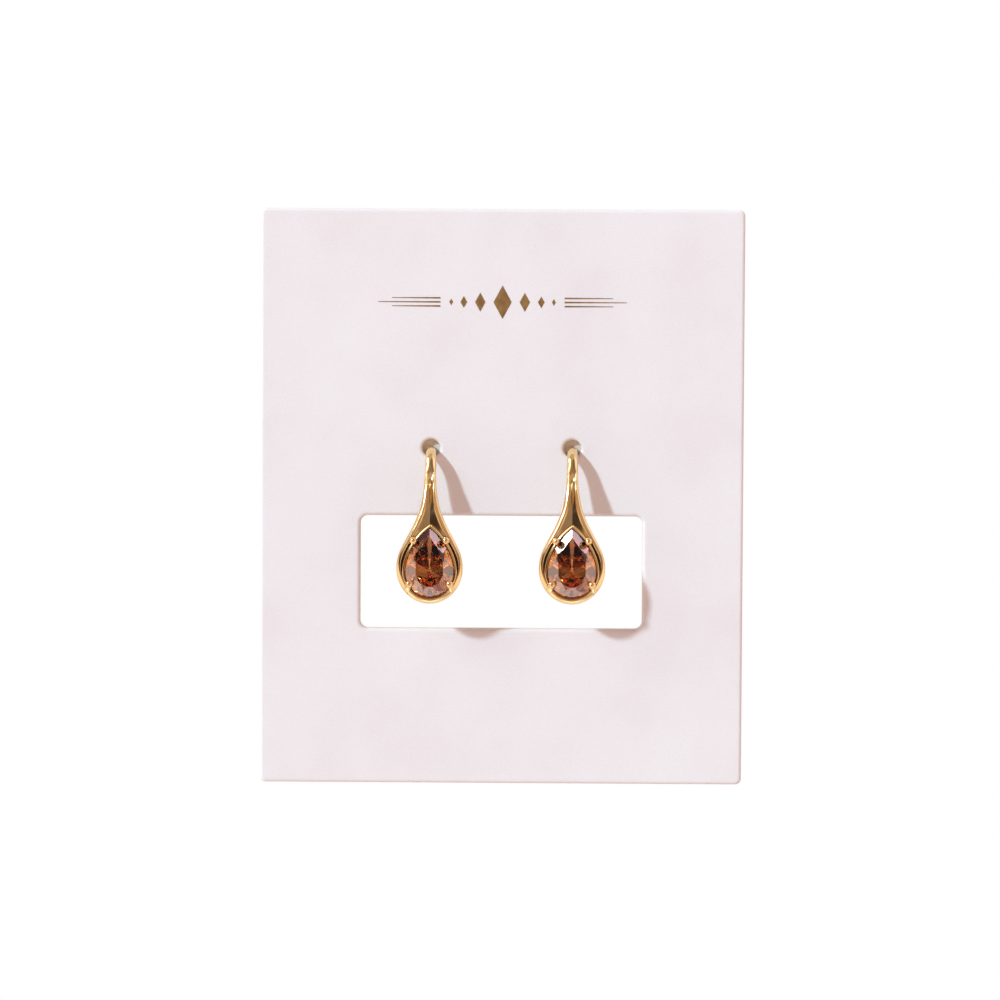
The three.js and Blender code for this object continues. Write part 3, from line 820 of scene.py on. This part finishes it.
def foil_ornament():
    """A plain row of lozenges between two groups of tapered rules, in gold foil."""
    shapes = []
    for x, half_width, half_height in LOZENGES:
        for side in ((-1, 1) if x else (1,)):
            shapes.append([(side * x + half_width, FOIL_HEIGHT), (side * x, FOIL_HEIGHT + half_height),
                           (side * x - half_width, FOIL_HEIGHT), (side * x, FOIL_HEIGHT - half_height)])
    for side in (-1, 1):
        for lift, reach in RULES:
            start = side * RULE_START
            end = side * mix(RULE_START, FOIL_HALF_LENGTH, reach)
            z = FOIL_HEIGHT + lift
            shapes.append([(start, z - RULE_HALF_HEIGHT), (end, z - RULE_HALF_HEIGHT * RULE_END_SHARE),
                           (end, z + RULE_HALF_HEIGHT * RULE_END_SHARE), (start, z + RULE_HALF_HEIGHT)])
    vertices, faces = [], []
    for points in shapes:
        more, sides = raised_shape(points)
        faces += [tuple(i + len(vertices) for i in side) for side in sides]
        vertices += more
    made = mesh_object("foil_ornament", vertices, faces)
    face_outward(made)
    return made


def new_material(name):
    material = bpy.data.materials.new(name)
    material.use_nodes = True
    nodes = material.node_tree.nodes
    return material, nodes, material.node_tree.links, nodes["Principled BSDF"]


def noise(nodes, links, scale, detail, roughness=0.5):
    """A noise texture in object space."""
    place = nodes.new("ShaderNodeTexCoord")
    texture = nodes.new("ShaderNodeTexNoise")
    texture.inputs["Scale"].default_value = scale
    texture.inputs["Detail"].default_value = detail
    texture.inputs["Roughness"].default_value = roughness
    links.new(place.outputs["Object"], texture.inputs["Vector"])
    return texture


def colour_ramp(nodes, links, source, stops):
    ramp = nodes.new("ShaderNodeValToRGB")
    ramp.color_ramp.elements[0].position = stops[0][0]
    ramp.color_ramp.elements[0].color = (*stops[0][1], 1)
    ramp.color_ramp.elements[1].position = stops[-1][0]
    ramp.color_ramp.elements[1].color = (*stops[-1][1], 1)
    for position, colour in stops[1:-1]:
        element = ramp.color_ramp.elements.new(position)
        element.color = (*colour, 1)
    links.new(source, ramp.inputs["Fac"])
    return ramp


def bump(nodes, links, source, distance, strength):
    made = nodes.new("ShaderNodeBump")
    made.inputs["Distance"].default_value = distance
    made.inputs["Strength"].default_value = strength
    links.new(source, made.inputs["Height"])
    return made


def inside_card(nodes, links):
    """A mask that is 1 in the middle of the card's thickness and 0 at its two faces."""
    place = nodes.new("ShaderNodeTexCoord")
    parts = nodes.new("ShaderNodeSeparateXYZ")
    links.new(place.outputs["Object"], parts.inputs["Vector"])
    depth = nodes.new("ShaderNodeMath")
    depth.operation = "ABSOLUTE"
    links.new(parts.outputs["Y"], depth.inputs[0])
    inside = nodes.new("ShaderNodeMapRange")
    inside.inputs["From Min"].default_value = (CARD_HALF_THICKNESS - PAPER_SKIN) * MM
    inside.inputs["From Max"].default_value = (CARD_HALF_THICKNESS - PAPER_SKIN_EDGE) * MM
    inside.inputs["To Min"].default_value = 1.0
    inside.inputs["To Max"].default_value = 0.0
    links.new(depth.outputs["Value"], inside.inputs["Value"])
    return inside.outputs["Result"]


def paper_material():
    """Thick uncoated board: nearly white with a faint pink tint, a warmer core and a fine grain."""
    material, nodes, links, shader = new_material("white_board")
    cloudy = noise(nodes, links, 90, 3)
    tint = colour_ramp(nodes, links, cloudy.outputs["Fac"],
                       ((0.3, (0.795, 0.725, 0.77)), (0.5, (0.815, 0.755, 0.8)), (0.7, (0.83, 0.78, 0.825))))
    fibres = noise(nodes, links, 5200, 5, 0.65)
    fleck = colour_ramp(nodes, links, fibres.outputs["Fac"],
                        ((0.35, (0.965, 0.955, 0.955)), (0.6, (1.0, 1.0, 1.0))))
    blend = nodes.new("ShaderNodeMix")
    blend.data_type = "RGBA"
    blend.blend_type = "MULTIPLY"
    blend.inputs["Factor"].default_value = 1.0
    links.new(tint.outputs["Color"], blend.inputs["A"])
    links.new(fleck.outputs["Color"], blend.inputs["B"])
    core = nodes.new("ShaderNodeMix")
    core.data_type = "RGBA"
    core.inputs["B"].default_value = (0.76, 0.66, 0.6, 1)
    links.new(inside_card(nodes, links), core.inputs["Factor"])
    links.new(blend.outputs["Result"], core.inputs["A"])
    links.new(core.outputs["Result"], shader.inputs["Base Color"])
    shader.inputs["Roughness"].default_value = 0.78
    shader.inputs["Specular IOR Level"].default_value = 0.25
    grain = bump(nodes, links, fibres.outputs["Fac"], 0.00002, 0.35)
    waves = noise(nodes, links, 420, 3)
    soft = bump(nodes, links, waves.outputs["Fac"], 0.00006, 0.3)
    links.new(soft.outputs["Normal"], grain.inputs["Normal"])
    links.new(grain.outputs["Normal"], shader.inputs["Normal"])
    return material


def gold_material():
    """Mirror-polished yellow gold with a slight waviness, and painted shade that darkens its deepest
    recesses.
    """
    material, nodes, links, shader = new_material("polished_gold")
    patches = noise(nodes, links, 700, 2)
    colour = colour_ramp(nodes, links, patches.outputs["Fac"],
                         ((0.3, (0.86, 0.62, 0.31)), (0.7, (0.93, 0.7, 0.38))))
    # Painted shade: the gold turns dark brown where ambient occlusion finds other surfaces close by, in
    # crevices and gaps
    recess = nodes.new("ShaderNodeAmbientOcclusion")
    recess.samples = 8
    recess.inputs["Distance"].default_value = 0.0005
    depth = nodes.new("ShaderNodeMapRange")
    depth.inputs["From Min"].default_value = 0.12
    depth.inputs["From Max"].default_value = 0.5
    links.new(recess.outputs["AO"], depth.inputs["Value"])
    painted_recess_shade = nodes.new("ShaderNodeMix")
    painted_recess_shade.data_type = "RGBA"
    painted_recess_shade.inputs["A"].default_value = (0.16, 0.07, 0.025, 1)
    links.new(depth.outputs["Result"], painted_recess_shade.inputs["Factor"])
    links.new(colour.outputs["Color"], painted_recess_shade.inputs["B"])
    links.new(painted_recess_shade.outputs["Result"], shader.inputs["Base Color"])
    shader.inputs["Metallic"].default_value = 1.0
    polish = nodes.new("ShaderNodeMapRange")
    polish.inputs["To Min"].default_value = 0.06
    polish.inputs["To Max"].default_value = 0.14
    links.new(patches.outputs["Fac"], polish.inputs["Value"])
    links.new(polish.outputs["Result"], shader.inputs["Roughness"])
    rounded = nodes.new("ShaderNodeBevel")
    rounded.samples = 8
    rounded.inputs["Radius"].default_value = 0.00004
    waves = noise(nodes, links, 480, 1)
    soft = bump(nodes, links, waves.outputs["Fac"], 0.00004, 0.12)
    links.new(rounded.outputs["Normal"], soft.inputs["Normal"])
    links.new(soft.outputs["Normal"], shader.inputs["Normal"])
    return material


def foil_material():
    """Hot-stamped foil in a darker gold, with a little unevenness."""
    material, nodes, links, shader = new_material("gold_foil")
    patches = noise(nodes, links, 1500, 4)
    colour = colour_ramp(nodes, links, patches.outputs["Fac"],
                         ((0.35, (0.36, 0.22, 0.085)), (0.65, (0.52, 0.34, 0.15))))
    links.new(colour.outputs["Color"], shader.inputs["Base Color"])
    shader.inputs["Metallic"].default_value = 0.85
    shader.inputs["Roughness"].default_value = 0.36
    crinkle = bump(nodes, links, patches.outputs["Fac"], 0.00002, 0.3)
    links.new(crinkle.outputs["Normal"], shader.inputs["Normal"])
    return material


def stone_material():
    """Clear faceted stone of champagne to cognac brown, whose colour deepens along the light's way."""
    material, nodes, links, shader = new_material("champagne_stone")
    haze = noise(nodes, links, 260, 2)
    tint = colour_ramp(nodes, links, haze.outputs["Fac"],
                       ((0.35, (0.97, 0.86, 0.76)), (0.65, (1.0, 0.93, 0.86))))
    links.new(tint.outputs["Color"], shader.inputs["Base Color"])
    shader.inputs["Roughness"].default_value = 0.0
    shader.inputs["IOR"].default_value = 2.2
    shader.inputs["Transmission Weight"].default_value = 1.0
    shader.inputs["Coat Weight"].default_value = 1.0
    shader.inputs["Coat Roughness"].default_value = 0.0
    shader.inputs["Coat IOR"].default_value = 1.8
    absorb = nodes.new("ShaderNodeVolumeAbsorption")
    absorb.inputs["Color"].default_value = (0.91, 0.547, 0.024, 1)
    absorb.inputs["Density"].default_value = 360.0
    links.new(absorb.outputs["Volume"], nodes["Material Output"].inputs["Volume"])
    return material


def floor_material():
    material, nodes, links, shader = new_material("pale_floor")
    shader.inputs["Base Color"].default_value = (0.9, 0.9, 0.9, 1)
    shader.inputs["Roughness"].default_value = 0.9
    return material


def dress(piece, material, node=None):
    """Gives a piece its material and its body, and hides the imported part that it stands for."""
    piece.data.materials.clear()
    piece.data.materials.append(material)
    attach(piece, "root")
    if node:
        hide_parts(node)


def build_object():
    board = card_board()
    dress(board, paper_material(), "display_card")
    dress(foil_ornament(), foil_material())
    gold = gold_material()
    champagne = stone_material()
    metal = casting()
    stone = cut_stone("stone")
    for side, shift in (("left", -EARRING_X), ("right", EARRING_X)):
        for source, material, kind, node, slot in (
            (metal, gold, "gold_casting", "hook_and_setting", "polished_gold"),
            (stone, champagne, "faceted_stone", "pear_stone", "champagne_stone"),
        ):
            mesh = source.data.copy()
            mesh.transform(Matrix.Translation((shift * MM, 0, 0)))
            piece = new_object(f"{side}_{kind}", mesh)
            dress(piece, material, f"{side}_{node}")
    for source in (metal, stone):
        bpy.data.objects.remove(source)


def direction(azimuth, elevation):
    """A unit vector: azimuth 0 points out of the card's front, and grows towards +X."""
    a, e = math.radians(azimuth), math.radians(elevation)
    return Vector((math.sin(a) * math.cos(e), -math.cos(a) * math.cos(e), math.sin(e)))


def build_world():
    """A warm room with soft bright and dark patches, in front of a plain white backdrop."""
    world = bpy.data.worlds.new("studio")
    bpy.context.scene.world = world
    world.use_nodes = True
    nodes, links = world.node_tree.nodes, world.node_tree.links
    place = nodes.new("ShaderNodeTexCoord")

    def disc(azimuth, elevation, radius, softness):
        dot = nodes.new("ShaderNodeVectorMath")
        dot.operation = "DOT_PRODUCT"
        dot.inputs[1].default_value = direction(azimuth, elevation)
        links.new(place.outputs["Generated"], dot.inputs[0])
        edge = nodes.new("ShaderNodeMapRange")
        edge.interpolation_type = "SMOOTHSTEP"
        edge.inputs["From Min"].default_value = math.cos(math.radians(radius + softness))
        edge.inputs["From Max"].default_value = math.cos(math.radians(max(radius - softness, 0)))
        links.new(dot.outputs["Value"], edge.inputs["Value"])
        return edge.outputs["Result"]

    def blend(factor, under, over):
        node = nodes.new("ShaderNodeMix")
        node.data_type = "RGBA"
        links.new(factor, node.inputs["Factor"])
        for socket, value in (("A", under), ("B", over)):
            if isinstance(value, tuple):
                node.inputs[socket].default_value = value
            else:
                links.new(value, node.inputs[socket])
        return node.outputs["Result"]

    colour = (*ROOM_COLOUR, 1)
    for azimuth, elevation, radius, softness, tint in PATCHES:
        colour = blend(disc(azimuth, elevation, radius, softness), colour, (*tint, 1))
    lit = nodes["Background"]
    links.new(colour, lit.inputs["Color"])
    plain = nodes.new("ShaderNodeBackground")
    plain.inputs["Color"].default_value = (*BACKDROP_COLOUR, 1)
    seen = nodes.new("ShaderNodeLightPath")
    either = nodes.new("ShaderNodeMixShader")
    links.new(seen.outputs["Is Camera Ray"], either.inputs["Fac"])
    links.new(lit.outputs["Background"], either.inputs[1])
    links.new(plain.outputs["Background"], either.inputs[2])
    links.new(either.outputs["Shader"], nodes["World Output"].inputs["Surface"])


def build_stage():
    side, front, back, drop = (size / MM for size in (FLOOR_HALF_WIDTH, FLOOR_FRONT, FLOOR_BACK, FLOOR_DROP))
    corners = [(-side, -front, -drop), (side, -front, -drop), (side, back, -drop), (-side, back, -drop)]
    floor = mesh_object("floor", corners, [(0, 1, 2, 3)])
    floor.data.materials.append(floor_material())
    key = new_object("key", bpy.data.lights.new("key", "SUN"))
    key.data.energy = KEY_STRENGTH
    key.data.color = KEY_COLOUR
    key.data.angle = KEY_ANGLE
    key.rotation_euler = KEY_DIRECTION.to_track_quat("Z", "Y").to_euler()


def build_camera():
    """The camera stands where the photograph's did, found from the card's corners."""
    camera = new_object("camera", bpy.data.cameras.new("camera"))
    bpy.context.scene.camera = camera
    back = direction(CAMERA_AZIMUTH, CAMERA_ELEVATION)
    right = Vector((0, 0, 1)).cross(back).normalized()
    up = back.cross(right)
    roll = math.radians(CAMERA_ROLL)
    rolled_right = right * math.cos(roll) + up * math.sin(roll)
    rolled_up = back.cross(rolled_right)
    turn = Matrix((rolled_right, rolled_up, back)).transposed()
    place = (CAMERA_TARGET + back * CAMERA_DISTANCE) * MM
    camera.matrix_world = Matrix.Translation(place) @ turn.to_4x4()
    camera.data.sensor_width = SENSOR_WIDTH
    camera.data.lens = FOCAL_PIXELS / IMAGE_PIXELS * SENSOR_WIDTH
    camera.data.clip_start = 0.01
    camera.data.clip_end = 20.0


def set_look():
    scene = bpy.context.scene
    scene.view_settings.view_transform = "Standard"
    scene.cycles.use_denoising = True
    scene.cycles.max_bounces = 24
    scene.cycles.transmission_bounces = 20
    scene.cycles.glossy_bounces = 8


build_camera()
build_object()
build_world()
build_stage()
set_look()
